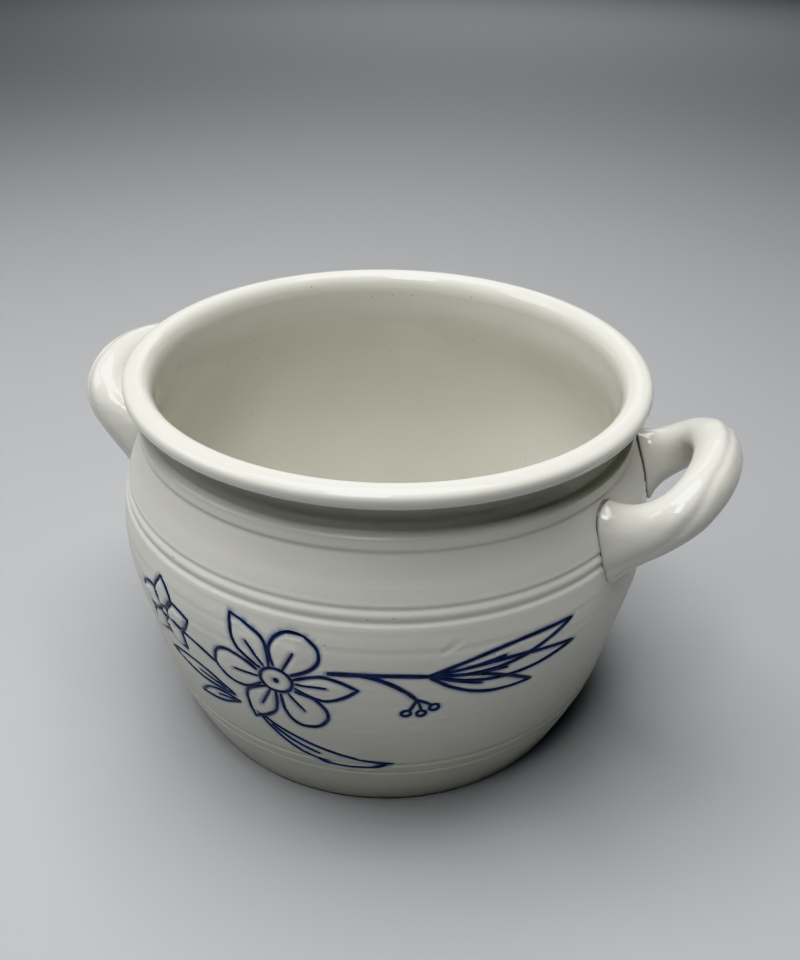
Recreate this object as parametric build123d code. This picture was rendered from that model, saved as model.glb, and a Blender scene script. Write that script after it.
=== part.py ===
from build123d import *
from math import atan2, cos, hypot, sin, sqrt
import os

# A two-handled glazed stoneware crock: one thrown pot and two pulled handles luted to its shoulder.
# Millimetres, +Z up. The origin is the centre of the foot on the resting plane, the decorated
# front faces -Y, and the handles point along +X and -X. The lines of the pattern on the front are
# under a millimetre deep and are not cut here.

# --- thrown pot ---------------------------------------------------------------------------------
height = 158.0              # resting plane to the top of the rim
belly_radius = 111.4        # widest point of the wall
foot_step = 20.4            # how much smaller than the belly the outside is at the resting plane,
low_wall_step = 11.0        # at the lower foot groove,
waist_step = 4.8            # halfway from there to the belly,
shoulder_step = 2.8         # at the double groove,
collar_step = 10.6          # at the collar groove,
neck_step = 13.2            # and at the narrowest point, under the rim
low_wall_height = 26.1
belly_share = 0.735         # how far up from the foot groove to the double groove the belly is
shoulder_drop = 46.4        # top of the rim down to the middle of the double groove
collar_drop = 25.0          # top of the rim down to the collar groove
neck_drop = 12.6            # top of the rim down to the narrowest point
wall = 6.0                  # wall thickness
floor_thickness = 8.0
inside_corner = 22.0        # rounding between the wall and the floor, inside
foot_edge = 1.2             # rounding of the foot's outer edge
foot_ring_width = 9.0       # the unglazed ring that the pot stands on
foot_recess = 2.5           # hollow under the floor, inside the foot ring

# --- rolled rim ---------------------------------------------------------------------------------
rim_step = 6.4              # how much smaller than the belly the rim is outside
rim_width = 11.4            # radial size of the rolled bead
rim_depth = 7.8             # vertical size of the rolled bead

# --- turned grooves -----------------------------------------------------------------------------
groove_tool_radius = 1.3    # rounded tip of the turning tool
groove_depth = 0.7
shoulder_groove_pitch = 4.6
foot_groove_depth = 0.45
foot_groove_pitch = 5.8     # the second foot groove is this much above the first

# --- pulled handles -----------------------------------------------------------------------------
handle_span = 71.0          # between the middles of the two ends, across the handle
finger_gap = 13.0           # from the shoulder to the inside of the cross bar
handle_drop = 45.0          # top of the rim down to the middle of the handle's ends
handle_rise = 24.0          # how far the cross bar stands above the ends
bar_width = 17.6            # section in the plane of the loop
bar_thickness = 18.6        # section across that plane
end_flare = 1.25            # how much larger the luted ends are than the bar
flare_length = 10.0         # from the wall to where the bar has its own size
root_depth = 18.0           # length of the blank inside the wall's outline, which is cut away

# --- worked out from the sizes above ------------------------------------------------------------
foot_radius = belly_radius - foot_step
shoulder_radius = belly_radius - shoulder_step
rim_radius = belly_radius - rim_step
shoulder_height = height - shoulder_drop
collar_height = height - collar_drop
neck_height = height - neck_drop
belly_height = low_wall_height + belly_share * (shoulder_height - low_wall_height)
waist_height = 0.5 * (low_wall_height + belly_height)
rim_height = height - rim_depth / 2
mouth_radius = rim_radius - rim_width


def wall_outline(inset=0.0):
    """Outer line of the wall from the foot to the neck, moved inwards by inset."""
    return Spline(
        (foot_radius - inset, 0),
        (belly_radius - low_wall_step - inset, low_wall_height),
        (belly_radius - waist_step - inset, waist_height),
        (belly_radius - inset, belly_height),
        (shoulder_radius - inset, shoulder_height),
        (belly_radius - collar_step - inset, collar_height),
        (belly_radius - neck_step - inset, neck_height),
    )


def wall_radius(at_height):
    """Outside radius of the wall at a height, found by halving along the outline."""
    outline = wall_outline()
    low, high = 0.0, 1.0
    for _ in range(40):
        middle = (low + high) / 2
        if (outline @ middle).Y < at_height:
            low = middle
        else:
            high = middle
    return (outline @ low).X


def wall_section(inset=0.0):
    """Half section of everything inside the wall's outline, closed above the neck."""
    outline = wall_outline(inset)
    top_corner = (outline @ 1).X
    roof = Polyline((outline @ 1), (top_corner, rim_height), (0, rim_height), (0, 0), (outline @ 0))
    return make_face([outline, roof])


def turned(section):
    """The solid that a half section sweeps round the pot's axis."""
    return revolve(Plane.XZ * section, Axis.Z)


def groove_ring(at_height, depth):
    """Ring that the turning tool cuts away at a height."""
    centre = wall_radius(at_height) + groove_tool_radius - depth
    return turned(Pos(centre, at_height) * Circle(groove_tool_radius))


def turned_form():
    """The pot's outside as a full solid, with its grooves, before it is hollowed."""
    section = wall_section()
    foot_corner = section.vertices().sort_by(Axis.Y)[0:2].sort_by(Axis.X)[-1]
    form = turned(fillet(foot_corner, foot_edge))
    half_pitch = shoulder_groove_pitch / 2
    form -= groove_ring(shoulder_height - half_pitch, groove_depth)
    form -= groove_ring(shoulder_height + half_pitch, groove_depth)
    form -= groove_ring(collar_height, groove_depth)
    form -= groove_ring(low_wall_height, foot_groove_depth)
    form -= groove_ring(low_wall_height + foot_groove_pitch, foot_groove_depth)
    return form


def inside_of_pot():
    """The hollow: wall thickness inside the outline, a rounded corner, and the open mouth."""
    section = wall_section(wall)
    section -= Pos(0, floor_thickness / 2) * Rectangle(2 * belly_radius, floor_thickness)
    floor_corner = section.vertices().sort_by(Axis.Y)[0:2].sort_by(Axis.X)[-1]
    section = fillet(floor_corner, inside_corner)
    mouth = Pos(mouth_radius / 2, height) * Rectangle(mouth_radius, 2 * collar_drop)
    return turned(section) + turned(mouth)


def thrown_pot(form):
    """Wall, floor, foot ring and rolled rim."""
    rim_middle = rim_radius - rim_width / 2
    bead = turned(Pos(rim_middle, rim_height) * Ellipse(rim_width / 2, rim_depth / 2))
    recess = Pos(0, 0, foot_recess / 2) * Cylinder(foot_radius - foot_ring_width, foot_recess)
    return form - inside_of_pot() + bead - recess


def handle(form):
    """Handle on the +X side: a half-round loop of oval bar that rises away from the wall."""
    root_height = height - handle_drop
    half_span = handle_span / 2
    root_radius = sqrt(wall_radius(root_height) ** 2 - half_span**2)
    reach = shoulder_radius + finger_gap + bar_width / 2
    loop_depth = hypot(reach - root_radius, handle_rise)
    slope = atan2(handle_rise, reach - root_radius)
    loop_plane = Plane(
        origin=(root_radius, 0, root_height),
        x_dir=(cos(slope), 0, sin(slope)),
        z_dir=(-sin(slope), 0, cos(slope)),
    )
    corner = min(loop_depth - flare_length, half_span) - 0.5

    def section(along, across, size):
        facing = Plane(origin=(along, across, 0), x_dir=(0, 1, 0), z_dir=(1, 0, 0))
        return loop_plane * facing * Ellipse(size * bar_width / 2, size * bar_thickness / 2)

    loop = FilletPolyline(
        (flare_length, -half_span),
        (loop_depth, -half_span),
        (loop_depth, half_span),
        (flare_length, half_span),
        radius=corner,
    )
    blank = sweep(section(flare_length, -half_span, 1.0), path=loop_plane * loop)
    for across in (-half_span, half_span):
        ends = [
            section(-root_depth, across, end_flare),
            section(0, across, end_flare),
            section(flare_length, across, 1.0),
        ]
        blank += loft(ends, ruled=True)
    return blank - form


# --- the pieces ---------------------------------------------------------------------------------
form = turned_form()
right_handle = handle(form)
pieces = {
    "pot_body": thrown_pot(form),
    "right_handle": right_handle,
    "left_handle": Rot(0, 0, 180) * right_handle,
}

os.makedirs("parts", exist_ok=True)
for name, shape in pieces.items():
    export_step(shape, f"parts/{name}.step")
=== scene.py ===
"""Looks of a two-handled stoneware crock.

One thrown pot with turned grooves, two pulled handles luted to its shoulder, and a plain flower
spray that is pressed into the wall and drawn in cobalt blue. Metres; lengths below are in
millimetres times MM. The decorated front faces -Y and the handles point along X.
"""

import bisect
import math

import bmesh
import bpy
from mathutils import Matrix, Vector, noise


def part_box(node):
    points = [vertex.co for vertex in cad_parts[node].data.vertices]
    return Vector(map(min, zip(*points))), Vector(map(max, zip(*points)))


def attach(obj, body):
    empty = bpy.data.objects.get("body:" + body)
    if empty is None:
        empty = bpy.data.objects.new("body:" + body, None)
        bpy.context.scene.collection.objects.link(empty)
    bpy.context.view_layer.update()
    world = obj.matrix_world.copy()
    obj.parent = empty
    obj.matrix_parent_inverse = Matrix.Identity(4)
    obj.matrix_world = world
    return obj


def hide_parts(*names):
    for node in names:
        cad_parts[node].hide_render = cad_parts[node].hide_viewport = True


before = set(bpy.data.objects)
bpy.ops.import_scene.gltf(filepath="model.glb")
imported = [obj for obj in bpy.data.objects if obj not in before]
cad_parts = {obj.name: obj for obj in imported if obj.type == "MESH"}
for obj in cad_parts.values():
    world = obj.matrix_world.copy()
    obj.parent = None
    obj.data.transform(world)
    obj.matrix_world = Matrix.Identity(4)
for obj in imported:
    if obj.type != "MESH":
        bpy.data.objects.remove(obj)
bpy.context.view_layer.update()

MM = 0.001
_, pot_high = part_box("pot_body")

# --- thrown wall: sizes of the pot, and how much each station is smaller than the belly ---------
BELLY = pot_high.x
HEIGHT = pot_high.z
FOOT_Z = 26.1 * MM
SHOULDER_Z = HEIGHT - 46.4 * MM
COLLAR_Z = HEIGHT - 25.0 * MM
NECK_Z = HEIGHT - 12.6 * MM
BELLY_Z = FOOT_Z + 0.735 * (SHOULDER_Z - FOOT_Z)
WAIST_Z = (FOOT_Z + BELLY_Z) / 2
WALL_STATIONS = (
    (0.0, BELLY - 20.4 * MM),
    (FOOT_Z, BELLY - 11.0 * MM),
    (WAIST_Z, BELLY - 4.8 * MM),
    (BELLY_Z, BELLY),
    (SHOULDER_Z, BELLY - 2.8 * MM),
    (COLLAR_Z, BELLY - 10.6 * MM),
    (NECK_Z, BELLY - 13.2 * MM),
)
WALL = 6.0 * MM
FLOOR = 8.0 * MM
INSIDE_CORNER = 22.0 * MM
FOOT_EDGE = 1.2 * MM
RING_WIDTH = 9.0 * MM
RING_RECESS = 2.5 * MM
RIM_RADIUS = BELLY - 6.4 * MM
RIM_WIDTH = 11.4 * MM
RIM_DEPTH = 7.8 * MM
RIM_SQUARENESS = 0.86
INNER_ROLL = 9.5 * MM
# painted shade: share of the greyer glaze tone inside the pot
INSIDE_PAINTED_SHADE = 0.15

# --- turned marks on the wall -------------------------------------------------------------------
SHOULDER_GROOVES = (SHOULDER_Z - 2.3 * MM, SHOULDER_Z + 2.3 * MM)
SHOULDER_CUT = 0.62 * MM
SHOULDER_CUT_HALF = 1.05 * MM
SHOULDER_LIP = 0.1 * MM
SHOULDER_LIP_BELOW = 1.9 * MM
LIP_HALF = 0.6 * MM
FOOT_GROOVES = (FOOT_Z, FOOT_Z + 5.8 * MM)
FOOT_CUT = 0.5 * MM
FOOT_CUT_HALF = 0.8 * MM
FOOT_CUT_ABOVE = 0.9 * MM
FOOT_LIP = 0.3 * MM
FOOT_LIP_BELOW = 0.4 * MM
COLLAR_CUT = 0.5 * MM
COLLAR_CUT_HALF = 1.5 * MM
COLLAR_CUT_BELOW = 0.6 * MM
COLLAR_FACE = (COLLAR_Z + 1.2 * MM, COLLAR_Z + 4.4 * MM)
COLLAR_RAISED = 0.9 * MM
COLLAR_EASE = 2.2 * MM
NECK_EASE = 1.4 * MM
NECK_DEPTH = 2.0 * MM
THROWING_RING = 0.05 * MM
# painted shade: share of the greyer glaze tone low down and in the neck under the rim
LOW_PAINTED_SHADE = 0.65
NECK_PAINTED_SHADE = 0.8

# --- spacing of the wall's rows and columns -----------------------------------------------------
DRAWN_BAND = (37 * MM, 100 * MM)
DRAWN_LEFT = -66 * MM
DRAWN_RIGHT = 124 * MM
GROOVE_REACH = 3.4 * MM
COLLAR_REACH = 4 * MM
GROOVE_ROW = 0.5 * MM
DRAWN_ROW = 0.82 * MM
PLAIN_ROW = 1.8 * MM
DRAWN_COLUMN = 0.86 * MM
PLAIN_COLUMN = 4.2 * MM

# --- handles ------------------------------------------------------------------------------------
BAR_WIDE = 17.2 * MM
BAR_DEEP = 18.4 * MM
BAR_SQUARENESS = 0.94
BAR_SIDES = 56
BAR_STEP = 1.7 * MM
LOOP_STEPS = 900
LOOP_BLUNTNESS = 0.46
LOOP_SIDE_BLUNTNESS = 0.96
HAND_WAVE = 0.55 * MM
DENT = 0.12 * MM
HAND_SEED = 5
TRUMPET_FADE = 5.6 * MM
TRUMPET_ZONE = 18.0 * MM
SEAM_BURIED = 1.6 * MM
SEAM_TUCK = 1.3 * MM
SEAM_WIDTH = 0.8 * MM
# painted shade in the crease where a handle meets the wall: its half width and darkness
SEAM_SHADE_HALF = 0.55 * MM
SEAM_PAINTED_SHADE = 0.9
SEAM_SHARES = (0.0, 0.04, 0.08, 0.115, 0.15, 0.19, 0.24, 0.3, 0.38, 0.48, 0.6, 0.73, 0.87)
RIGHT_HANDLE = {
    "depth": 38.2 * MM, "half_span": 33.4 * MM, "slope": 40.5, "root_z": HEIGHT - 44.8 * MM,
    "flare": 1.0, "seed": 2.0,
}
LEFT_HANDLE = {
    "depth": 34.4 * MM, "half_span": 30.6 * MM, "slope": 46.6, "root_z": HEIGHT - 48.0 * MM,
    "flare": 0.8, "seed": 9.0,
}

# --- drawn lines --------------------------------------------------------------------------------
BOLD = 0.78 * MM
MEDIUM = 0.57 * MM
FINE = 0.42 * MM
FLOWER_ACROSS = 3.5 * MM
FLOWER_UP = 77.5 * MM
TAPER = 2.6 * MM
TAPER_END = 0.72
LINE_SPACING = 0.5 * MM
PRESS_SPACING = 0.3 * MM
BEND_STEPS = 8
MIDRIB_END = 5
BERRY_RADIUS = 1.7
BERRY_STALK = 7
BERRY_BEND = -24
LEAF_WIDTH = 9
LEAF_BEND = 8

# --- glaze patterns, in repeats to the metre ----------------------------------------------------
DRIFT = 22.0                # 45 mm across
WAVES = 55.0                # 18 mm
TURNING_LINES = 640.0       # 1.6 mm apart
TURNING_ROUND = 9.0         # and drawn out to 110 mm round the pot
SPECK_CELLS = 95.0          # one speck in a cube of 10.5 mm
COBALT_DEPTH = 200.0        # 5 mm
CLAY_GRAIN = 900.0          # 1.1 mm
GLAZE_IOR = 1.52

# --- studio -------------------------------------------------------------------------------------
FLOOR_HALF = 5.0
POT_MIDDLE = (0, 0, 0.05)
CAMERA_PLACE = (0.1302, -0.3168, 0.3116)
CAMERA_HEADING = -0.3738
CAMERA_PITCH = 0.558
CAMERA_ROLL = 0.0230
CAMERA_LENS = 41.4
ROOM_STRENGTH = 0.085


def linear(hex_colour):
    """Linear colour of an sRGB hex value."""
    parts = [int(hex_colour[place:place + 2], 16) / 255 for place in (1, 3, 5)]
    return [v / 12.92 if v <= 0.04045 else ((v + 0.055) / 1.055) ** 2.4 for v in parts] + [1.0]


def add(tree, kind, sockets=None, **settings):
    """Adds a node with its settings, and fills its sockets with values or links."""
    node = tree.nodes.new(kind)
    for name, value in settings.items():
        setattr(node, name, value)
    for key, value in (sockets or {}).items():
        if isinstance(value, bpy.types.NodeSocket):
            tree.links.new(value, node.inputs[key])
        else:
            node.inputs[key].default_value = value
    return node


# ================================================================================================
# Glazes
# ================================================================================================
def new_material(name):
    """Empty material with its shader and output joined."""
    material = bpy.data.materials.new(name)
    material.use_nodes = True
    tree = material.node_tree
    tree.nodes.clear()
    shader = tree.nodes.new("ShaderNodeBsdfPrincipled")
    output = tree.nodes.new("ShaderNodeOutputMaterial")
    tree.links.new(shader.outputs["BSDF"], output.inputs["Surface"])
    return material, tree, shader


def glaze_surface(tree, shader, body_hex, warm_hex, wave_strength):
    """Colour drift, sparse dark specks, turning lines and slow waves, and gives the colour.

    The specks are at most 0.9 mm wide, about two in each square of 50 mm. The lines and waves
    are bump only.
    """
    place = add(tree, "ShaderNodeTexCoord").outputs["Object"]
    drift = add(tree, "ShaderNodeTexNoise", {"Vector": place, "Scale": DRIFT, "Detail": 3.0})
    colour = add(
        tree, "ShaderNodeMix",
        {"Factor": drift.outputs["Fac"], "A": linear(body_hex), "B": linear(warm_hex)},
        data_type="RGBA",
    )
    cells = add(tree, "ShaderNodeTexVoronoi", {"Vector": place, "Scale": SPECK_CELLS})
    speck = add(
        tree, "ShaderNodeMapRange",
        {"Value": cells.outputs["Distance"], "From Min": 0.02, "From Max": 0.045,
         "To Min": 0.6, "To Max": 0.0},
    )
    specked = add(
        tree, "ShaderNodeMix",
        {"Factor": speck.outputs["Result"], "A": colour.outputs["Result"], "B": linear("#6B6355")},
        data_type="RGBA",
    )
    stretch = (TURNING_ROUND, TURNING_ROUND, TURNING_LINES)
    stretched = add(tree, "ShaderNodeMapping", {"Vector": place, "Scale": stretch})
    turning = add(
        tree, "ShaderNodeTexNoise", {"Vector": stretched.outputs[0], "Scale": 1.0, "Detail": 2.0}
    )
    lines_bump = add(
        tree, "ShaderNodeBump",
        {"Height": turning.outputs["Fac"], "Strength": wave_strength, "Distance": 0.2 * MM},
    )
    waves = add(tree, "ShaderNodeTexNoise", {"Vector": place, "Scale": WAVES, "Detail": 3.0})
    bump = add(
        tree, "ShaderNodeBump",
        {"Height": waves.outputs["Fac"], "Strength": wave_strength, "Distance": 1.2 * MM,
         "Normal": lines_bump.outputs["Normal"]},
    )
    tree.links.new(bump.outputs["Normal"], shader.inputs["Normal"])
    return specked.outputs["Result"]


def white_glaze():
    """Glazed stoneware: satin on the wall, glossier on the rim and inside.

    The greyer tone low down, in the neck and inside is painted shade: where the wall faces the floor,
    under the rim and inside the hollow.
    """
    material, tree, shader = new_material("satin_white_stoneware_glaze")
    base = glaze_surface(tree, shader, "#E1E1DA", "#DAD9CF", 0.3)
    # painted shade: a greyer tone mixed in low down, in the neck and inside
    thin = add(tree, "ShaderNodeAttribute", attribute_name="thin").outputs["Fac"]
    shaded_base = add(
        tree, "ShaderNodeMix", {"Factor": thin, "A": base, "B": linear("#A6A89A")},
        data_type="RGBA",
    )
    gloss = add(tree, "ShaderNodeAttribute", attribute_name="gloss").outputs["Fac"]
    rough = add(
        tree, "ShaderNodeMapRange",
        {"Value": gloss, "From Min": 0.0, "From Max": 1.0, "To Min": 0.42, "To Max": 0.09},
    )
    tree.links.new(rough.outputs["Result"], shader.inputs["Roughness"])
    near = add(tree, "ShaderNodeAttribute", attribute_name="bleed").outputs["Fac"]
    tint = add(
        tree, "ShaderNodeMix",
        {"Factor": near, "A": shaded_base.outputs["Result"], "B": linear("#6F86B4")},
        data_type="RGBA",
    )
    tree.links.new(tint.outputs["Result"], shader.inputs["Base Color"])
    shader.inputs["IOR"].default_value = GLAZE_IOR
    return material


def handle_glaze():
    """A wet, slightly wavy gloss on the pulled handles, with a narrow dark line of painted shade at
    the wall.

    The dark line is painted shade in the crease where the handle meets the wall; the slightly darker
    white is a chosen finish.
    """
    material, tree, shader = new_material("glossy_white_stoneware_glaze")
    base = glaze_surface(tree, shader, "#DADAD4", "#D3D1C7", 0.4)
    # painted shade: a dark line in the crease where the handle meets the wall
    painted_seam_shade = add(tree, "ShaderNodeAttribute", attribute_name="painted_seam_shade").outputs["Fac"]
    crease_shaded = add(
        tree, "ShaderNodeMix", {"Factor": painted_seam_shade, "A": base, "B": linear("#4A463E")},
        data_type="RGBA",
    )
    tree.links.new(crease_shaded.outputs["Result"], shader.inputs["Base Color"])
    shader.inputs["Roughness"].default_value = 0.1
    shader.inputs["IOR"].default_value = GLAZE_IOR
    return material


def cobalt_glaze():
    """Ink blue of a brushed cobalt line under glaze: deeper and paler every few millimetres."""
    material, tree, shader = new_material("brushed_cobalt_under_glaze")
    place = add(tree, "ShaderNodeTexCoord").outputs["Object"]
    pooling = add(tree, "ShaderNodeTexNoise", {"Vector": place, "Scale": COBALT_DEPTH, "Detail": 2.0})
    ramp = add(tree, "ShaderNodeValToRGB", {"Fac": pooling.outputs["Fac"]})
    ramp.color_ramp.elements[0].position = 0.35
    ramp.color_ramp.elements[0].color = linear("#060A22")
    ramp.color_ramp.elements[1].position = 0.75
    ramp.color_ramp.elements[1].color = linear("#112766")
    tree.links.new(ramp.outputs["Color"], shader.inputs["Base Color"])
    shader.inputs["Roughness"].default_value = 0.32
    shader.inputs["IOR"].default_value = GLAZE_IOR
    return material


def bare_stoneware():
    """Foot ring and underside without glaze: dry buff stoneware with a sandy tooth."""
    material, tree, shader = new_material("bare_fired_stoneware")
    place = add(tree, "ShaderNodeTexCoord").outputs["Object"]
    grain = add(tree, "ShaderNodeTexNoise", {"Vector": place, "Scale": CLAY_GRAIN, "Detail": 2.0})
    ramp = add(tree, "ShaderNodeValToRGB", {"Fac": grain.outputs["Fac"]})
    ramp.color_ramp.elements[0].color = linear("#9A8C78")
    ramp.color_ramp.elements[1].color = linear("#CDC1AD")
    tree.links.new(ramp.outputs["Color"], shader.inputs["Base Color"])
    bump = add(
        tree, "ShaderNodeBump",
        {"Height": grain.outputs["Fac"], "Strength": 0.5, "Distance": 0.3 * MM},
    )
    tree.links.new(bump.outputs["Normal"], shader.inputs["Normal"])
    shader.inputs["Roughness"].default_value = 0.85
    return material


# ================================================================================================
# The thrown wall by rule
# ================================================================================================
def wall_radius(z):
    """Outside radius of the plain wall at a height: a smooth curve through the stations."""
    count = len(WALL_STATIONS)
    span = 0
    while span < count - 2 and z > WALL_STATIONS[span + 1][0]:
        span += 1

    def slope(index):
        before = WALL_STATIONS[max(index - 1, 0)]
        after = WALL_STATIONS[min(index + 1, count - 1)]
        return (after[1] - before[1]) / (after[0] - before[0])

    (z0, r0), (z1, r1) = WALL_STATIONS[span], WALL_STATIONS[span + 1]
    length = z1 - z0
    t = min(max((z - z0) / length, 0.0), 1.0)
    start = (1 + 2 * t) * (1 - t) ** 2 * r0 + t * (1 - t) ** 2 * length * slope(span)
    end = t * t * (3 - 2 * t) * r1 - t * t * (1 - t) * length * slope(span + 1)
    return start + end


def dip(z, centre, half_width):
    """Bell-shaped mark of a rounded tool, 1 at its centre."""
    return math.exp(-(((z - centre) / half_width) ** 2))


def smooth_step(value, low, high):
    """0 below low, 1 above high and an even rise between them."""
    t = min(max((value - low) / (high - low), 0.0), 1.0)
    return t * t * (3 - 2 * t)


def turned_radius(z):
    """Outside radius with the turned grooves, the collar and the throwing rings."""
    r = wall_radius(z)
    for centre in SHOULDER_GROOVES:
        r -= SHOULDER_CUT * dip(z, centre, SHOULDER_CUT_HALF)
        r += SHOULDER_LIP * dip(z, centre - SHOULDER_LIP_BELOW, LIP_HALF)
    for centre in FOOT_GROOVES:
        r -= FOOT_CUT * dip(z, centre + FOOT_CUT_ABOVE, FOOT_CUT_HALF)
        r += FOOT_LIP * dip(z, centre - FOOT_LIP_BELOW, LIP_HALF)
    r -= COLLAR_CUT * dip(z, COLLAR_Z - COLLAR_CUT_BELOW, COLLAR_CUT_HALF)
    low, high = COLLAR_FACE
    above = smooth_step(z, high, high + NECK_EASE)
    r += COLLAR_RAISED * smooth_step(z, low - COLLAR_EASE, low) * (1 - above)
    r -= NECK_DEPTH * above
    rings = math.sin(z / (1.05 * MM)) + 0.7 * math.sin(z / (0.61 * MM) + 1.3)
    return r + THROWING_RING * rings * smooth_step(z, FOOT_Z, WAIST_Z)


def painted_shade_share(z):
    """Share of painted shade, a greyer glaze tone, on the outer wall: low down and in the neck under
    the rim.
    """
    low_down = LOW_PAINTED_SHADE * (1 - smooth_step(z, FOOT_Z, BELLY_Z))
    in_neck = NECK_PAINTED_SHADE * smooth_step(z, COLLAR_FACE[1] - 1 * MM, COLLAR_FACE[1] + 2 * MM)
    return low_down + in_neck


def stations(start, end, step):
    """Even stations from start to end, both included."""
    count = max(1, round(abs(end - start) / step))
    return [start + (end - start) * place / count for place in range(count + 1)]


def wall_rows():
    """Heights of the outer wall's rows: close where the wall is pressed, drawn or grooved."""
    rows = []
    z = FOOT_EDGE
    while z < NECK_Z:
        rows.append(z)
        in_drawing = DRAWN_BAND[0] < z < DRAWN_BAND[1]
        near_groove = any(abs(z - g) < GROOVE_REACH for g in FOOT_GROOVES + SHOULDER_GROOVES)
        at_collar = z > COLLAR_Z - COLLAR_REACH
        if near_groove or at_collar:
            z += GROOVE_ROW
        elif in_drawing:
            z += DRAWN_ROW
        else:
            z += PLAIN_ROW
    return rows


def foot_points():
    """From the middle of the underside over the foot ring to its outer edge, all bare clay."""
    ring_out = wall_radius(0.0)
    ring_in = ring_out - RING_WIDTH
    places = [(r, RING_RECESS) for r in stations(0.0, ring_in - 1 * MM, 6 * MM)]
    places += [
        (ring_in - 0.4 * MM, RING_RECESS - 0.3 * MM),
        (ring_in, RING_RECESS - 1.0 * MM),
        (ring_in + 0.2 * MM, 0.6 * MM),
        (ring_in + 0.9 * MM, 0.0),
        (ring_out - 3 * MM, 0.0),
        (ring_out - 1.2 * MM, 0.0),
        (ring_out - 0.35 * MM, 0.4 * MM),
    ]
    return [(r, z, 0.0, 0.0, 0.0, 1.0) for r, z in places]


def rim_points():
    """From the neck round the rolled rim and down the roll inside it."""
    neck_r = turned_radius(NECK_Z)
    points = [
        (neck_r + 0.1 * MM, NECK_Z + 1.6 * MM, 0.4, 0.8, 0.0, 0.0),
        (neck_r + 0.7 * MM, NECK_Z + 3.4 * MM, 0.6, 0.5, 0.0, 0.0),
    ]
    rim_r = RIM_RADIUS - RIM_WIDTH / 2
    rim_z = HEIGHT - RIM_DEPTH / 2
    for place in stations(-60.0, 88.0, 8.0):
        turn = math.radians(place)
        wide, deep = math.cos(turn), math.sin(turn)
        r = rim_r + RIM_WIDTH / 2 * wide ** RIM_SQUARENESS
        z = rim_z + RIM_DEPTH / 2 * math.copysign(abs(deep) ** RIM_SQUARENESS, deep)
        points.append((r, z, 1.0, 0.0, 0.0, 0.0))
    for place in stations(96.0, 180.0, 7.0):
        turn = math.radians(place)
        r = rim_r + RIM_WIDTH / 2 * math.cos(turn)
        z = HEIGHT - INNER_ROLL * (1 - math.sin(turn))
        # painted shade grows down the inner roll of the rim
        points.append((r, z, 1.0, INSIDE_PAINTED_SHADE * (1 - math.sin(turn)), 0.0, 0.0))
    return points


def inside_points():
    """Down the inner wall, round the corner and over the floor, with its low throwing rings."""
    mouth_r = RIM_RADIUS - RIM_WIDTH
    inner_slope = (wall_radius(26 * MM) - wall_radius(20 * MM)) / (6 * MM)
    lean = math.atan(inner_slope)
    corner_z = FLOOR + INSIDE_CORNER
    start_z = corner_z - INSIDE_CORNER * math.sin(lean)
    places = []
    for z in stations(HEIGHT - INNER_ROLL, start_z, 4.5 * MM)[1:]:
        inner = wall_radius(z) - WALL
        blend = smooth_step(z, COLLAR_Z - 12 * MM, COLLAR_Z + 4 * MM)
        places.append((inner * (1 - blend) + max(mouth_r, inner) * blend, z))
    corner_r = wall_radius(start_z) - WALL - INSIDE_CORNER * math.cos(lean)
    for place in stations(-math.degrees(lean), -90.0, 9.0)[1:]:
        turn = math.radians(place)
        r = corner_r + INSIDE_CORNER * math.cos(turn)
        places.append((r, corner_z + INSIDE_CORNER * math.sin(turn)))
    for r in stations(corner_r, 0.0, 5 * MM)[1:]:
        rise = 0.35 * MM * (math.cos(r / (3.4 * MM)) - 1.0) * (1 - r / corner_r)
        places.append((r, FLOOR + rise + 0.25 * MM * (1 - r / corner_r)))
    return [(r, z, 0.9, INSIDE_PAINTED_SHADE, 0.0, 0.0) for r, z in places]


def pot_profile():
    """Half section from the middle of the underside, out and up the wall, and in to the floor.

    Each point is radius, height, how glossy the glaze is and how much painted shade greys it there,
    whether it is the outer wall and whether the clay is bare.
    """
    wall = [(turned_radius(z), z, 0.1, painted_shade_share(z), 1.0, 0.0) for z in wall_rows()]
    return foot_points() + wall + rim_points() + inside_points()


def wall_columns():
    """Angles of the pot's columns: close across the drawing, wide apart round the back."""
    start = DRAWN_LEFT / BELLY
    end = DRAWN_RIGHT / BELLY
    front = stations(start, end, DRAWN_COLUMN / BELLY)
    back = stations(end, start + 2 * math.pi, PLAIN_COLUMN / BELLY)
    return front + back[1:]


# the second mark is the share of painted shade in the glaze
MARKS = ("gloss", "thin", "outside", "bare")


def helper_mesh(name, places, marks=None):
    """Object of loose points, which carries a list of places and marks into a node tree."""
    mesh = bpy.data.meshes.new(name)
    mesh.from_pydata(places, [], [])
    for label, values in (marks or {}).items():
        layer = mesh.attributes.new(label, "FLOAT", "POINT")
        layer.data.foreach_set("value", values)
    helper = bpy.data.objects.new(name, mesh)
    bpy.context.collection.objects.link(helper)
    return helper


# ================================================================================================
# The drawing
# ================================================================================================
def on_wall(across, up):
    """Place on the wall of a point of the drawing, measured from the main flower's middle."""
    turn = (FLOWER_ACROSS + across * MM) / BELLY
    z = FLOWER_UP + up * MM
    r = wall_radius(z)
    return Vector((r * math.sin(turn), -r * math.cos(turn), z))


def ring(across, up, radius, weight):
    """Hand-drawn ring whose end runs over its start."""
    points = []
    for place in stations(0.0, 385.0, 24.0):
        turn = math.radians(place + 80.0)
        r = radius * (1 + 0.03 * math.sin(2 * turn))
        points.append((across + r * math.cos(turn), up + r * math.sin(turn)))
    return weight, points


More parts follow.
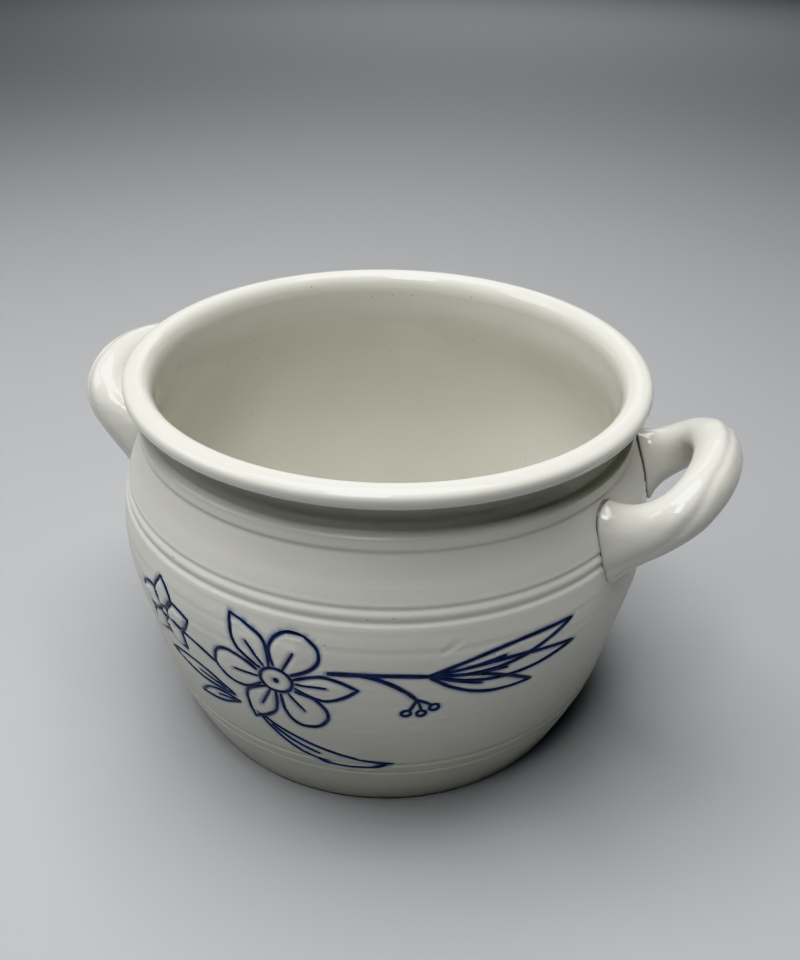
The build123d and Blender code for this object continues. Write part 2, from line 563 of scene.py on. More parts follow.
# share of the length, and of the half width to the right and to the left of the spine
PETAL_FORMS = {
    "pointed": (
        ((0.0, 0.3), (0.2, 0.72), (0.45, 1.0), (0.75, 0.62), (1.0, 0.0)),
        ((0.0, 0.3), (0.25, 0.62), (0.5, 0.78), (0.75, 0.5), (1.0, 0.0)),
    ),
    "star": (
        ((0.0, 0.4), (0.3, 0.95), (0.6, 0.85), (1.0, 0.0)),
        ((0.0, 0.4), (0.3, 0.95), (0.6, 0.7), (1.0, 0.0)),
    ),
    "round": (
        ((0.0, 0.4), (0.3, 0.82), (0.62, 1.0), (0.86, 0.78), (0.97, 0.34), (1.0, 0.0)),
        ((0.0, 0.4), (0.3, 0.9), (0.62, 0.96), (0.86, 0.7), (0.97, 0.3), (1.0, 0.0)),
    ),
}


def petal_place(centre, angle, along, aside):
    """Point of a petal, from its flower's middle: along its spine and aside of it."""
    turn = math.radians(angle)
    across = centre[0] + along * math.cos(turn) - aside * math.sin(turn)
    up = centre[1] + along * math.sin(turn) + aside * math.cos(turn)
    return across, up


def petal(centre, start, angle, length, width, form, weight):
    """Both edges of a petal, drawn from the flower's ring to the tip."""
    edges = []
    for side, halves in zip((-1, 1), PETAL_FORMS[form]):
        points = []
        for share, half in halves:
            along = start + share * (length - start)
            points.append(petal_place(centre, angle, along, side * half * width / 2))
        edges.append((weight, points))
    return edges


def vein(centre, start, angle, length):
    """Short line up the middle of a petal."""
    places = (start, start + 0.2 * length, start + 0.38 * length)
    return FINE, [petal_place(centre, angle, along, 0.0) for along in places]


def bent_line(across, up, angle, length, bend):
    """Places along a line that turns evenly by bend degrees: across, up and its direction there."""
    places = []
    for step in range(BEND_STEPS + 1):
        turn = math.radians(angle + bend * step / BEND_STEPS)
        places.append((across, up, turn))
        across += length / BEND_STEPS * math.cos(turn)
        up += length / BEND_STEPS * math.sin(turn)
    return places


def stalk(across, up, angle, length, bend, weight):
    """One bent stroke."""
    return weight, [(x, y) for x, y, _ in bent_line(across, up, angle, length, bend)]


def lance_leaf(across, up, angle, length, width, bend, weight):
    """Both edges and the midrib of a narrow pointed leaf on a bent spine."""
    spine = bent_line(across, up, angle, length, bend)
    strokes = [(FINE, [(x, y) for x, y, _ in spine[1:MIDRIB_END]])]
    for side in (-1, 1):
        edge = []
        for step, (x, y, turn) in enumerate(spine):
            half = side * width / 2 * math.sin(math.pi * step / BEND_STEPS)
            edge.append((x - half * math.sin(turn), y + half * math.cos(turn)))
        strokes.append((weight, edge))
    return strokes


def berry(across, up, angle, length):
    """Short bent stalk with a small ring at its end."""
    end_x, end_y, turn = bent_line(across, up, angle, length, BERRY_BEND)[-1]
    middle = (end_x + BERRY_RADIUS * math.cos(turn), end_y + BERRY_RADIUS * math.sin(turn))
    return [
        stalk(across, up, angle, length, BERRY_BEND, MEDIUM),
        ring(*middle, BERRY_RADIUS, MEDIUM),
    ]


# six even petals of two plain forms in turn: angle, length, width and form
MAIN_RING = 6.4
MAIN_START = 7.0
VEIN_START = 7.4
MAIN_FORMS = ((31, 15, "pointed"), (27, 18, "round"))
MAIN_PETALS = [(4 + 60 * count, *MAIN_FORMS[count % 2]) for count in range(6)]
SIDE_FLOWER = (-55, 6)
SIDE_RING = 2.6
SIDE_START = 3.0
SIDE_PETALS = [18 + 72 * count for count in range(5)]
SIDE_LENGTH = 17
SIDE_WIDTH = 12
SWELLING_FORM = ((0, 0.5), (0.3, 0.9), (0.6, 1.0), (0.85, 0.5))

LEAF_STEM = stalk(20, 9.5, 6, 35, -14, BOLD)
BERRY_STEM = stalk(30, 10.6, -12, 26, -46, BOLD)
STEMS = [LEAF_STEM, BERRY_STEM]
LEAF_SPRAY = []
for angle, length in ((6, 58), (-6, 60), (-22, 44)):
    LEAF_SPRAY += lance_leaf(*LEAF_STEM[1][-1], angle, length, LEAF_WIDTH, LEAF_BEND, MEDIUM)
BERRIES = []
for angle in (-24, -62, -100):
    BERRIES += berry(*BERRY_STEM[1][-1], angle, BERRY_STALK)
LONG_LEAF = lance_leaf(-12, -24, -44, 62, 8, 56, FINE)
GRASS_LEAVES = lance_leaf(-22, -20, 166, 38, 8, 20, MEDIUM)
GRASS_LEAVES += lance_leaf(-20, -23, 190, 26, 6, 20, FINE)
SCRATCHES = [stalk(60, 20, 28, 7, 4, FINE)]


def main_flower():
    """Ring, dot, petals and veins of the large flower."""
    strokes = [ring(0, 0, MAIN_RING, MEDIUM), ring(0, 0, 0.6, MEDIUM)]
    for angle, length, width, form in MAIN_PETALS:
        strokes += petal((0, 0), MAIN_START, angle, length, width, form, MEDIUM)
        strokes.append(vein((0, 0), VEIN_START, angle, length))
    return strokes


def side_flower():
    """The small flower towards the left handle, and its stem."""
    strokes = [ring(*SIDE_FLOWER, SIDE_RING, MEDIUM), stalk(-46, 3, -10, 20, -20, MEDIUM)]
    for angle in SIDE_PETALS:
        strokes += petal(
            SIDE_FLOWER, SIDE_START, angle, SIDE_LENGTH, SIDE_WIDTH, "star", MEDIUM
        )
    return strokes


DRAWING = {
    "main_flower_lines": main_flower(),
    "side_flower_lines": side_flower(),
    "stem_lines": STEMS,
    "leaf_spray_lines": LEAF_SPRAY,
    "berry_lines": BERRIES,
    "long_leaf_lines": LONG_LEAF,
    "grass_leaf_lines": GRASS_LEAVES,
}


def stroke_curves(name, strokes, collection):
    """Curve object with one open spline for each stroke, its weight kept as the radius."""
    data = bpy.data.curves.new(name, "CURVE")
    data.dimensions = "3D"
    for weight, points in strokes:
        spline = data.splines.new("POLY")
        spline.points.add(len(points) - 1)
        for point, (across, up) in zip(spline.points, points):
            point.co = (*on_wall(across, up), 1.0)
            point.radius = weight
    curves = bpy.data.objects.new(name, data)
    collection.objects.link(curves)
    return curves


def petal_spines(collection):
    """Middle lines of the petals, with the radius of the soft swelling between their edges."""
    data = bpy.data.curves.new("petal_spines", "CURVE")
    data.dimensions = "3D"
    spines = [((0, 0), MAIN_START, angle, *size) for angle, *size, _ in MAIN_PETALS]
    spines += [(SIDE_FLOWER, SIDE_START, angle, SIDE_LENGTH, SIDE_WIDTH) for angle in SIDE_PETALS]
    for centre, start, angle, length, width in spines:
        spline = data.splines.new("POLY")
        spline.points.add(len(SWELLING_FORM) - 1)
        for point, (share, half) in zip(spline.points, SWELLING_FORM):
            along = start + share * (length - start)
            point.co = (*on_wall(*petal_place(centre, angle, along, 0.0)), 1.0)
            point.radius = half * width / 2 * MM
    curves = bpy.data.objects.new("petal_spines", data)
    collection.objects.link(curves)
    return curves


# ================================================================================================
# Node trees
# ================================================================================================
def new_tree(name, inputs):
    """Geometry tree with named inputs, and the node that gives them."""
    tree = bpy.data.node_groups.new(name, "GeometryNodeTree")
    for label, kind in inputs.items():
        tree.interface.new_socket(label, in_out="INPUT", socket_type=kind)
    tree.interface.new_socket("Geometry", in_out="OUTPUT", socket_type="NodeSocketGeometry")
    given = tree.nodes.new("NodeGroupInput")
    return tree, given.outputs


def finish_tree(tree, geometry):
    """Joins the last geometry to the tree's output."""
    add(tree, "NodeGroupOutput", {"Geometry": geometry})
    return tree


def grown(name, tree, values):
    """Plain mesh object that a tree makes from its named inputs."""
    host = bpy.data.objects.new(name + "_host", bpy.data.meshes.new(name + "_host"))
    bpy.context.collection.objects.link(host)
    modifier = host.modifiers.new(tree.name, "NODES")
    modifier.node_group = tree
    for item in tree.interface.items_tree:
        if item.in_out == "INPUT":
            modifier[item.identifier] = values[item.name]
    depsgraph = bpy.context.evaluated_depsgraph_get()
    mesh = bpy.data.meshes.new_from_object(host.evaluated_get(depsgraph), depsgraph=depsgraph)
    mesh.name = name
    bpy.data.objects.remove(host)
    piece = bpy.data.objects.new(name, mesh)
    bpy.context.collection.objects.link(piece)
    return piece


def tapered_strokes(tree, collection, spacing):
    """Every stroke of a collection as evenly spaced points, thinner at its ends and uneven."""
    info = add(tree, "GeometryNodeCollectionInfo", {"Collection": collection})
    real = add(tree, "GeometryNodeRealizeInstances", {"Geometry": info.outputs["Instances"]})
    smooth = add(
        tree, "GeometryNodeCurveSplineType", {"Curve": real.outputs[0]}, spline_type="CATMULL_ROM"
    )
    even = add(
        tree, "GeometryNodeResampleCurve", {"Curve": smooth.outputs[0], "Length": spacing},
        mode="LENGTH",
    )
    so_far = add(tree, "GeometryNodeSplineParameter").outputs["Length"]
    whole = add(tree, "GeometryNodeSplineLength").outputs["Length"]
    to_go = add(tree, "ShaderNodeMath", {0: whole, 1: so_far}, operation="SUBTRACT")
    from_end = add(tree, "ShaderNodeMath", {0: so_far, 1: to_go.outputs[0]}, operation="MINIMUM")
    taper = add(
        tree, "ShaderNodeMapRange",
        {"Value": from_end.outputs[0], "From Max": TAPER, "To Min": TAPER_END, "To Max": 1.0},
        interpolation_type="SMOOTHSTEP",
    )
    hand = add(tree, "ShaderNodeTexNoise", {"Scale": 130.0, "Detail": 1.0}).outputs["Fac"]
    swell = add(tree, "ShaderNodeMath", {0: hand, 1: 0.6, 2: 0.7}, operation="MULTIPLY_ADD")
    width = add(
        tree, "ShaderNodeMath", {0: taper.outputs[0], 1: swell.outputs[0]}, operation="MULTIPLY"
    )
    weight = add(tree, "GeometryNodeInputRadius").outputs[0]
    radius = add(tree, "ShaderNodeMath", {0: weight, 1: width.outputs[0]}, operation="MULTIPLY")
    return add(
        tree, "GeometryNodeSetCurveRadius", {"Curve": even.outputs[0], "Radius": radius.outputs[0]}
    ).outputs[0]


def nearest_of(tree, curves):
    """How far a place is from the nearest point of some curves, and that point's radius."""
    cloud = add(tree, "GeometryNodeCurveToPoints", {"Curve": curves}, mode="EVALUATED").outputs[0]
    here = add(tree, "GeometryNodeInputPosition").outputs[0]
    nearest = add(tree, "GeometryNodeSampleNearest", {"Geometry": cloud}).outputs[0]
    spot = add(
        tree, "GeometryNodeSampleIndex", {"Geometry": cloud, "Index": nearest},
        data_type="FLOAT_VECTOR",
    )
    tree.links.new(here, spot.inputs["Value"])
    size = add(tree, "GeometryNodeSampleIndex", {"Geometry": cloud, "Index": nearest})
    tree.links.new(add(tree, "GeometryNodeInputRadius").outputs[0], size.inputs["Value"])
    gap = add(tree, "ShaderNodeVectorMath", {0: here, 1: spot.outputs[0]}, operation="DISTANCE")
    return gap.outputs["Value"], size.outputs[0]


def wheel_tree():
    """A profile turned round the pot's axis, with one column for each given angle."""
    tree, given = new_tree(
        "thrown_on_the_wheel",
        {"Profile": "NodeSocketObject", "Columns": "NodeSocketObject",
         "Glaze": "NodeSocketMaterial", "Bare clay": "NodeSocketMaterial"},
    )
    profile = add(tree, "GeometryNodeObjectInfo", {"Object": given["Profile"]}).outputs["Geometry"]
    columns = add(tree, "GeometryNodeObjectInfo", {"Object": given["Columns"]}).outputs["Geometry"]
    rows = add(tree, "GeometryNodeAttributeDomainSize", {0: profile}).outputs["Point Count"]
    turns = add(tree, "GeometryNodeAttributeDomainSize", {0: columns}).outputs["Point Count"]
    grid = add(tree, "GeometryNodeMeshGrid", {"Vertices X": turns, "Vertices Y": rows})
    index = add(tree, "GeometryNodeInputIndex").outputs[0]
    row = add(tree, "FunctionNodeIntegerMath", {0: index, 1: rows}, operation="MODULO")
    column = add(tree, "FunctionNodeIntegerMath", {0: index, 1: rows}, operation="DIVIDE_FLOOR")
    place = add(tree, "GeometryNodeInputPosition").outputs[0]
    sampled = []
    for source, number in ((profile, row), (columns, column)):
        spot = add(
            tree, "GeometryNodeSampleIndex", {"Geometry": source, "Index": number.outputs[0]},
            data_type="FLOAT_VECTOR",
        )
        tree.links.new(place, spot.inputs["Value"])
        sampled.append(spot.outputs[0])
    angle = add(tree, "ShaderNodeSeparateXYZ", {0: sampled[1]}).outputs["X"]
    spun = add(
        tree, "ShaderNodeVectorRotate", {"Vector": sampled[0], "Angle": angle},
        rotation_type="Z_AXIS",
    )
    turned = add(
        tree, "GeometryNodeSetPosition",
        {"Geometry": grid.outputs["Mesh"], "Position": spun.outputs[0]},
    ).outputs[0]
    for label in MARKS:
        mark = add(tree, "GeometryNodeInputNamedAttribute", {"Name": label}, data_type="FLOAT")
        value = add(
            tree, "GeometryNodeSampleIndex", {"Geometry": profile, "Index": row.outputs[0]},
            data_type="FLOAT",
        )
        tree.links.new(mark.outputs["Attribute"], value.inputs["Value"])
        turned = add(
            tree, "GeometryNodeStoreNamedAttribute",
            {"Geometry": turned, "Name": label, "Value": value.outputs[0]},
            data_type="FLOAT", domain="POINT",
        ).outputs[0]
    closed = add(tree, "GeometryNodeMergeByDistance", {"Geometry": turned, "Distance": 0.004 * MM})
    smooth = add(tree, "GeometryNodeSetShadeSmooth", {"Geometry": closed.outputs[0]})
    glazed = add(
        tree, "GeometryNodeSetMaterial",
        {"Geometry": smooth.outputs[0], "Material": given["Glaze"]},
    )
    bare = add(tree, "GeometryNodeInputNamedAttribute", {"Name": "bare"}, data_type="FLOAT")
    wiped = add(
        tree, "FunctionNodeCompare", {0: bare.outputs["Attribute"], 1: 0.6},
        operation="GREATER_THAN",
    )
    clay = add(
        tree, "GeometryNodeSetMaterial",
        {"Geometry": glazed.outputs[0], "Selection": wiped.outputs[0],
         "Material": given["Bare clay"]},
    )
    return finish_tree(tree, clay.outputs[0])


def puffed_petals(tree, spines, spacing):
    """How far each place of the wall is lifted by a petal's soft swelling, 1 on its spine."""
    curves = add(tree, "GeometryNodeCollectionInfo", {"Collection": spines})
    loose = add(tree, "GeometryNodeRealizeInstances", {"Geometry": curves.outputs["Instances"]})
    close = add(
        tree, "GeometryNodeResampleCurve", {"Curve": loose.outputs[0], "Length": spacing},
        mode="LENGTH",
    )
    from_spine, petal_size = nearest_of(tree, close.outputs[0])
    inside = add(tree, "ShaderNodeMath", {0: from_spine, 1: petal_size}, operation="DIVIDE")
    return add(
        tree, "ShaderNodeMapRange",
        {"Value": inside.outputs[0], "From Min": 0.0, "From Max": 1.15, "To Min": 1.0, "To Max": 0.0},
        interpolation_type="SMOOTHSTEP",
    ).outputs["Result"]


def blue_beside(tree, painted, spacing):
    """Faint blue that runs into the glaze beside the painted strokes."""
    distance, half_width = nearest_of(tree, tapered_strokes(tree, painted, spacing))
    beside = add(tree, "ShaderNodeMath", {0: distance, 1: half_width}, operation="SUBTRACT")
    return add(
        tree, "ShaderNodeMapRange",
        {"Value": beside.outputs[0], "From Min": 0.1 * MM, "From Max": 1.3 * MM,
         "To Min": 0.7, "To Max": 0.0},
        interpolation_type="SMOOTHSTEP",
    ).outputs["Result"]


def pressed_tree():
    """The drawing pressed into a wall: rounded furrows, a low lip beside them and puffed petals."""
    tree, given = new_tree(
        "pressed_drawing",
        {"Wall": "NodeSocketObject", "Strokes": "NodeSocketCollection",
         "Painted": "NodeSocketCollection", "Petal spines": "NodeSocketCollection",
         "Furrow depth": "NodeSocketFloat", "Swelling": "NodeSocketFloat",
         "Spacing": "NodeSocketFloat"},
    )
    wall = add(tree, "GeometryNodeObjectInfo", {"Object": given["Wall"]}).outputs["Geometry"]
    strokes = tapered_strokes(tree, given["Strokes"], given["Spacing"])
    distance, half_width = nearest_of(tree, strokes)
    beside = add(tree, "ShaderNodeMath", {0: distance, 1: half_width}, operation="SUBTRACT")
    furrow = add(
        tree, "ShaderNodeMapRange",
        {"Value": beside.outputs[0], "From Min": 0.3 * MM, "From Max": 1.2 * MM,
         "To Min": 1.0, "To Max": 0.0},
        interpolation_type="SMOOTHSTEP",
    ).outputs["Result"]
    lip = add(
        tree, "ShaderNodeMapRange",
        {"Value": beside.outputs[0], "From Min": 0.8 * MM, "From Max": 3.0 * MM,
         "To Min": 0.1 * MM, "To Max": 0.0},
        interpolation_type="SMOOTHSTEP",
    ).outputs["Result"]
    puff = puffed_petals(tree, given["Petal spines"], given["Spacing"])
    lifted = add(
        tree, "ShaderNodeMath", {0: puff, 1: given["Swelling"], 2: lip}, operation="MULTIPLY_ADD"
    )
    depth = add(tree, "ShaderNodeMath", {0: given["Furrow depth"], 1: -1.0}, operation="MULTIPLY")
    height = add(
        tree, "ShaderNodeMix", {"Factor": furrow, "A": lifted.outputs[0], "B": depth.outputs[0]}
    )
    outside = add(tree, "GeometryNodeInputNamedAttribute", {"Name": "outside"}, data_type="FLOAT")
    amount = add(
        tree, "ShaderNodeMath", {0: height.outputs["Result"], 1: outside.outputs["Attribute"]},
        operation="MULTIPLY",
    )
    normal = add(tree, "GeometryNodeInputNormal").outputs["Normal"]
    offset = add(
        tree, "ShaderNodeVectorMath", {0: normal, "Scale": amount.outputs[0]}, operation="SCALE"
    )
    bleed = blue_beside(tree, given["Painted"], given["Spacing"])
    only_wall = add(
        tree, "ShaderNodeMath", {0: bleed, 1: outside.outputs["Attribute"]}, operation="MULTIPLY"
    )
    marked = add(
        tree, "GeometryNodeStoreNamedAttribute",
        {"Geometry": wall, "Name": "bleed", "Value": only_wall.outputs[0]},
        data_type="FLOAT", domain="POINT",
    )
    pressed = add(
        tree, "GeometryNodeSetPosition", {"Geometry": marked.outputs[0], "Offset": offset.outputs[0]}
    )
    real = add(tree, "GeometryNodeRealizeInstances", {"Geometry": pressed.outputs[0]})
    return finish_tree(tree, real.outputs[0])


def drawn_line_tree():
    """A cobalt line along each stroke, lying in its furrow and following the wall."""
    tree, given = new_tree(
        "drawn_line",
        {"Wall": "NodeSocketObject", "Strokes": "NodeSocketCollection",
         "Section": "NodeSocketObject", "Sink": "NodeSocketFloat", "Spacing": "NodeSocketFloat",
         "Colour": "NodeSocketMaterial"},
    )
    wall = add(tree, "GeometryNodeObjectInfo", {"Object": given["Wall"]}).outputs["Geometry"]
    strokes = tapered_strokes(tree, given["Strokes"], given["Spacing"])
    touch = add(tree, "GeometryNodeProximity", {0: wall}, target_element="FACES")
    facing = add(tree, "GeometryNodeInputNormal").outputs["Normal"]
    outward = add(tree, "GeometryNodeSampleNearestSurface", {"Mesh": wall}, data_type="FLOAT_VECTOR")
    tree.links.new(facing, outward.inputs["Value"])
    depth = add(tree, "ShaderNodeMath", {0: given["Sink"], 1: -1.0}, operation="MULTIPLY")
    sink = add(
        tree, "ShaderNodeVectorMath", {0: outward.outputs[0], "Scale": depth.outputs[0]},
        operation="SCALE",
    )
    laid = add(
        tree, "GeometryNodeSetPosition",
        {"Geometry": strokes, "Position": touch.outputs["Position"], "Offset": sink.outputs[0]},
    )
    upright = add(
        tree, "GeometryNodeSetCurveNormal",
        {"Curve": laid.outputs[0], "Normal": outward.outputs[0]}, mode="FREE",
    )
    section = add(tree, "GeometryNodeObjectInfo", {"Object": given["Section"]})
    swept = add(
        tree, "GeometryNodeCurveToMesh",
        {"Curve": upright.outputs[0], "Profile Curve": section.outputs["Geometry"],
         "Scale": add(tree, "GeometryNodeInputRadius").outputs[0], "Fill Caps": True},
    )
    smooth = add(tree, "GeometryNodeSetShadeSmooth", {"Geometry": swept.outputs[0]})
    real = add(tree, "GeometryNodeRealizeInstances", {"Geometry": smooth.outputs[0]})
    inked = add(
        tree, "GeometryNodeSetMaterial", {"Geometry": real.outputs[0], "Material": given["Colour"]}
    )
    return finish_tree(tree, inked.outputs[0])


# ================================================================================================
# Handles
# ================================================================================================
def loop_point(turn, depth, half_span):
    """Place on the handle's loop, in its own plane: out from the wall, and across."""
    out = depth * max(math.cos(turn), 0.0) ** LOOP_BLUNTNESS
    across = half_span * math.copysign(abs(math.sin(turn)) ** LOOP_SIDE_BLUNTNESS, math.sin(turn))
    return Vector((out, across))


def loop_path(depth, half_span):
    """Fine points along the loop, each with its way from the loop's start."""
    path = []
    along = 0.0
    for step in range(LOOP_STEPS + 1):
        point = loop_point(math.radians(-90 + 180 * step / LOOP_STEPS), depth, half_span)
        if path:
            along += (point - path[-1][1]).length
        path.append((along, point))
    return path


def place_on(path, along):
    """Place and direction at a way along the loop, which runs on straight past its ends."""
    total = path[-1][0]
    if along <= 0:
        return path[0][1] + Vector((along, 0.0)), Vector((1.0, 0.0))
    if along >= total:
        return path[-1][1] + Vector((total - along, 0.0)), Vector((-1.0, 0.0))
    index = bisect.bisect_left(path, along, key=lambda entry: entry[0])
    (before, start), (after, end) = path[index - 1], path[index]
    share = (along - before) / (after - before)
    low = max(index - 12, 0)
    high = min(index + 12, len(path) - 1)
    return start.lerp(end, share), (path[high][1] - path[low][1]).normalized()


def above_skin(point):
    """How far a point stands outside the pot's wall."""
    return math.hypot(point.x, point.y) - wall_radius(point.z)


def flute(turn, near):
    """Size of the bar's section at a turn from its inner side: a crease that winds up the bar."""
    crease = 205.0 - 52.0 * smooth_step(near, 14 * MM, 46 * MM)
    groove = math.exp(-(((turn - crease) / 9.0) ** 2))
    ridge = math.exp(-(((turn - crease + 24.0) / 15.0) ** 2))
    flat = math.exp(-(((turn - 80.0) / 34.0) ** 2))
    return 1.0 - 0.05 * groove + 0.03 * ridge - 0.03 * flat


def bar_of(sizes):
    """The bar of one handle as a rule, and the length of its loop."""
    root_r = math.sqrt(wall_radius(sizes["root_z"]) ** 2 - sizes["half_span"] ** 2)
    slope = math.radians(sizes["slope"])
    out_way = Vector((math.cos(slope), 0.0, math.sin(slope)))
    across_way = Vector((0.0, 1.0, 0.0))
    up_way = Vector((-math.sin(slope), 0.0, math.cos(slope)))
    root = Vector((root_r, 0.0, sizes["root_z"]))
    path = loop_path(sizes["depth"], sizes["half_span"])
    total = path[-1][0]

    def bar(along, turn):
        """Middle of the bar at a way along the loop, and its skin at a turn round it."""
        place, direction = place_on(path, along)
        side_way = out_way * -direction.y + across_way * direction.x
        centre = root + out_way * place.x + across_way * place.y
        near = max(min(along, total - along), 0.0)
        size = flute(math.degrees(turn), near)
        wide = math.copysign(abs(math.cos(turn)) ** BAR_SQUARENESS, math.cos(turn))
        deep = math.copysign(abs(math.sin(turn)) ** BAR_SQUARENESS, math.sin(turn))
        wide *= BAR_WIDE / 2 * size
        deep *= BAR_DEEP / 2 * size
        height = above_skin(centre + side_way * wide + up_way * deep)
        trumpet = sizes["flare"] * math.exp(-max(height, 0.0) / TRUMPET_FADE)
        towards_inner = math.cos(turn)
        wide *= 1 + trumpet * (0.3 + 0.45 * towards_inner)
        deep *= 1 + trumpet * (1.3 + 0.8 * math.sin(turn)) * (0.75 + 0.5 * towards_inner)
        return centre, centre + side_way * wide + up_way * deep

    return bar, total


def seam_point(bar, total, from_start, height, turn):
    """Skin of the bar where it stands a height above the wall, near one of its ends."""
    low, high = -TRUMPET_ZONE, TRUMPET_ZONE
    for _ in range(26):
        middle = (low + high) / 2
        _, point = bar(middle if from_start else total - middle, turn)
        if above_skin(point) < height:
            low = middle
        else:
            high = middle
    centre, point = bar(low if from_start else total - low, turn)
    return point + (centre - point).normalized() * SEAM_TUCK * dip(height, 0.0, SEAM_WIDTH)


def trumpet_end(bar, total, from_start, turns):
    """Rings of one flared end from inside the wall outwards, and how dark the painted shade at the
    wall is on each.
    """
    edge = TRUMPET_ZONE if from_start else total - TRUMPET_ZONE
    tops = [above_skin(bar(edge, turn)[1]) for turn in turns]
    rings = []
    marks = []
    for share in SEAM_SHARES:
        heights = [share * (top + SEAM_BURIED) - SEAM_BURIED for top in tops]
        rings.append([
            seam_point(bar, total, from_start, h, turn) for h, turn in zip(heights, turns)
        ])
        # painted shade: darkest on the ring that meets the wall
        marks.append([SEAM_PAINTED_SHADE * dip(h, 0.0, SEAM_SHADE_HALF) for h in heights])
    return rings, marks


def skin_of(rings, seed):
    """Closed mesh over the rings, with the waves and small dents of the hand."""
    mesh = bmesh.new()
    shift = Vector((seed, 0, 0))
    verts = []
    for ring_points in rings:
        row = []
        for point in ring_points:
            hand = noise.noise_vector(point * 42.0 + shift) * HAND_WAVE
            dent = noise.noise_vector(point * 130.0 + shift) * DENT
            row.append(mesh.verts.new(point + hand + dent))
        verts.append(row)
    for row, next_row in zip(verts, verts[1:]):
        for step in range(BAR_SIDES):
            after = (step + 1) % BAR_SIDES
            mesh.faces.new((row[step], row[after], next_row[after], next_row[step]))
    mesh.faces.new(verts[0][::-1])
    mesh.faces.new(verts[-1])
    return mesh


def pulled_handle(name, side, sizes):
    """Closed handle: an oval bar swept round the loop, its trumpet ends luted to the wall."""
    bar, total = bar_of(sizes)
    turns = [2 * math.pi * step / BAR_SIDES for step in range(BAR_SIDES)]
    first, first_shade = trumpet_end(bar, total, True, turns)
    last, last_shade = trumpet_end(bar, total, False, turns)
    middles = stations(TRUMPET_ZONE, total - TRUMPET_ZONE, BAR_STEP)
    rings = first + [[bar(along, turn)[1] for turn in turns] for along in middles] + last[::-1]
    marks = first_shade + [[0.0] * BAR_SIDES for _ in middles] + last_shade[::-1]
    mesh = skin_of(rings, sizes["seed"])
    if side < 0:
        bmesh.ops.rotate(mesh, verts=mesh.verts, matrix=Matrix.Rotation(math.pi, 3, "Z"))
    bmesh.ops.recalc_face_normals(mesh, faces=mesh.faces)
    for face in mesh.faces:
        face.smooth = True
    data = bpy.data.meshes.new(name)
    mesh.to_mesh(data)
    mesh.free()
    # painted shade along the crease where the handle meets the wall
    painted_seam_shade = data.attributes.new("painted_seam_shade", "FLOAT", "POINT")
    painted_seam_shade.data.foreach_set("value", [value for row in marks for value in row])
    piece = bpy.data.objects.new(name, data)
    bpy.context.collection.objects.link(piece)
    return piece


# ================================================================================================
# Assembly
# ================================================================================================
def line_section():
    """Section of a drawn line for a half width of 1: a low crown with its edges tucked under."""
    data = bpy.data.curves.new("line_section", "CURVE")
    data.dimensions = "3D"
    turns = [math.radians(place) for place in range(-90, 91, 30)]
    crown = [(0.2 * math.cos(turn), math.sin(turn)) for turn in turns]
    spline = data.splines.new("POLY")
    spline.points.add(len(crown) + 1)
    for point, (x, y) in zip(spline.points, crown + [(-0.6, 0.7), (-0.6, -0.7)]):
        point.co = (x, y, 0.0, 1.0)
    spline.use_cyclic_u = True
    return bpy.data.objects.new("line_section", data)


glaze = white_glaze()
gloss_glaze = handle_glaze()
cobalt = cobalt_glaze()
bare = bare_stoneware()

profile_points = pot_profile()
profile = helper_mesh(
    "pot_profile",
    [(0.0, -r, z) for r, z, *_ in profile_points],
    {label: [point[place] for point in profile_points] for place, label in enumerate(MARKS, 2)},
)
columns = helper_mesh("pot_columns", [(angle, 0.0, 0.0) for angle in wall_columns()])
blank = grown(
    "plain_wall", wheel_tree(),
    {"Profile": profile, "Columns": columns, "Glaze": glaze, "Bare clay": bare},
)

all_strokes = bpy.data.collections.new("strokes")
painted = bpy.data.collections.new("painted")
pads = bpy.data.collections.new("petal_spines")
groups = {}
for name, strokes in DRAWING.items():
    groups[name] = bpy.data.collections.new(name)
    curves = stroke_curves(name + "_strokes", strokes, groups[name])
    all_strokes.objects.link(curves)
    painted.objects.link(curves)
stroke_curves("scratches", SCRATCHES, all_strokes)
petal_spines(pads)

crock_body = grown(
    "crock_body", pressed_tree(),
    {"Wall": blank, "Strokes": all_strokes, "Painted": painted, "Petal spines": pads,
     "Furrow depth": 0.32 * MM, "Swelling": 0.5 * MM, "Spacing": PRESS_SPACING},
)
line_tree = drawn_line_tree()
section = line_section()
lines = [
    grown(
        name, line_tree,
        {"Wall": blank, "Strokes": groups[name], "Section": section, "Sink": 0.06 * MM,
         "Spacing": LINE_SPACING, "Colour": cobalt},
    )
    for name in DRAWING
]
for helper in (blank, profile, columns):
    bpy.data.objects.remove(helper)

# without a seed the noise takes one from the clock, and the dents change at every run
noise.seed_set(HAND_SEED)
for node, side, sizes in (("right_handle", 1, RIGHT_HANDLE), ("left_handle", -1, LEFT_HANDLE)):
    handle = pulled_handle(node + "_glazed", side, sizes)
    handle.data.materials.append(gloss_glaze)
    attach(handle, "root")
    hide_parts(node)

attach(crock_body, "root")
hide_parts("pot_body")
for piece in lines:
    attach(piece, "root")


# ================================================================================================
# Floor, light and camera
# ================================================================================================
def floor_plane():
    """Plain pale grey floor."""
    mesh = bpy.data.meshes.new("floor")
    half = FLOOR_HALF
    mesh.from_pydata(
        [(-half, -half, 0), (half, -half, 0), (half, half, 0), (-half, half, 0)], [], [(0, 1, 2, 3)]
    )
    floor = bpy.data.objects.new("floor", mesh)
    bpy.context.collection.objects.link(floor)
    material, _, shader = new_material("matt_grey_floor")
    shader.inputs["Base Color"].default_value = linear("#A9AAAC")
    shader.inputs["Roughness"].default_value = 0.6
    mesh.materials.append(material)


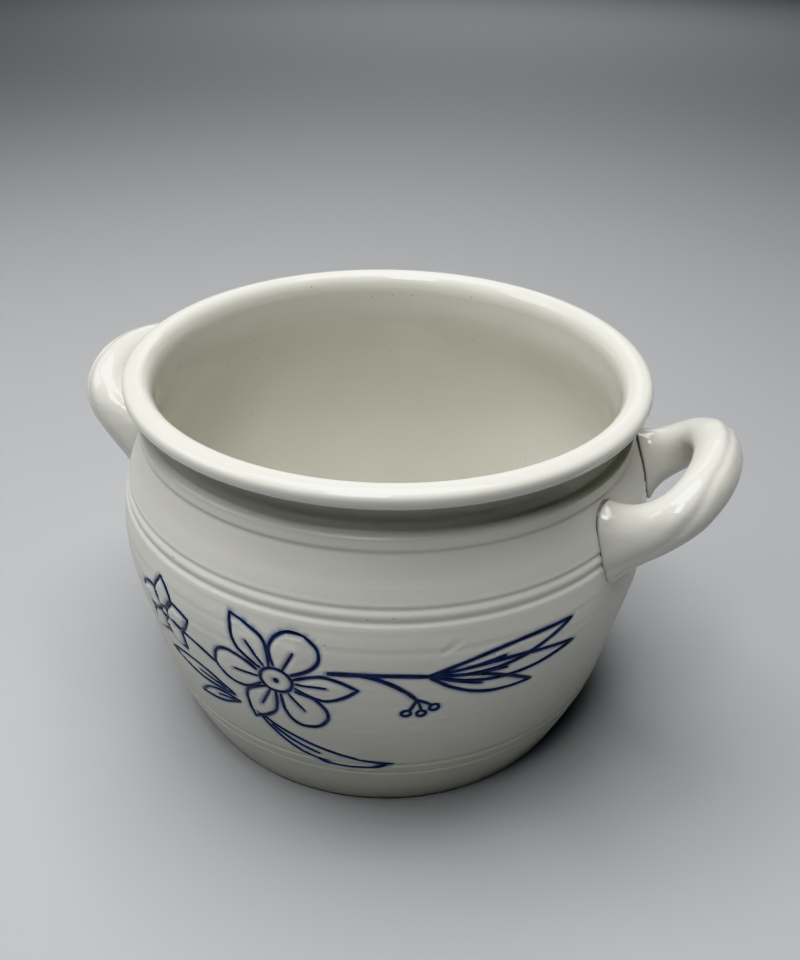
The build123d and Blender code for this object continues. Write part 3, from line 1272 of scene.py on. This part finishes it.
def soft_light(name, place, aim, width, length, watts):
    """Rectangular light, turned towards a point."""
    data = bpy.data.lights.new(name, "AREA")
    data.shape = "RECTANGLE"
    data.size = width
    data.size_y = length
    data.energy = watts
    light = bpy.data.objects.new(name, data)
    light.location = place
    light.rotation_euler = (Vector(aim) - Vector(place)).to_track_quat("-Z", "Y").to_euler()
    bpy.context.collection.objects.link(light)


def camera():
    """Camera above the front right, looking down into the pot."""
    level = Vector((math.sin(CAMERA_HEADING), math.cos(CAMERA_HEADING), 0.0))
    ahead = level * math.cos(CAMERA_PITCH) - Vector((0.0, 0.0, math.sin(CAMERA_PITCH)))
    right = Vector((math.cos(CAMERA_HEADING), -math.sin(CAMERA_HEADING), 0.0))
    up = right.cross(ahead)
    tilted_right = right * math.cos(CAMERA_ROLL) + up * math.sin(CAMERA_ROLL)
    tilted_up = up * math.cos(CAMERA_ROLL) - right * math.sin(CAMERA_ROLL)
    data = bpy.data.cameras.new("camera")
    data.sensor_fit = "HORIZONTAL"
    data.sensor_width = 36.0
    data.lens = CAMERA_LENS
    data.clip_start = 0.01
    view = bpy.data.objects.new("camera", data)
    turn = Matrix((tilted_right, tilted_up, -ahead)).transposed()
    view.matrix_world = Matrix.Translation(CAMERA_PLACE) @ turn.to_4x4()
    bpy.context.collection.objects.link(view)
    bpy.context.scene.camera = view


floor_plane()
camera()
soft_light("ceiling_softbox", (-0.1, 0.06, 1.35), POT_MIDDLE, 0.95, 0.95, 20.0)
soft_light("front_softbox", (0.1, -0.72, 1.28), POT_MIDDLE, 0.4, 0.4, 5.2)
soft_light("window_side", (-0.84, -0.33, 0.9), POT_MIDDLE, 0.6, 0.6, 3.6)
soft_light("backdrop_light", (-1.0, 3.0, 1.8), (-1.2, 3.2, 0.0), 2.0, 2.0, 27.0)
world = bpy.data.worlds.new("studio")
world.use_nodes = True
world.node_tree.nodes["Background"].inputs["Color"].default_value = linear("#A0A4AC")
world.node_tree.nodes["Background"].inputs["Strength"].default_value = ROOM_STRENGTH
bpy.context.scene.world = world
bpy.context.scene.view_settings.view_transform = "Khronos PBR Neutral"
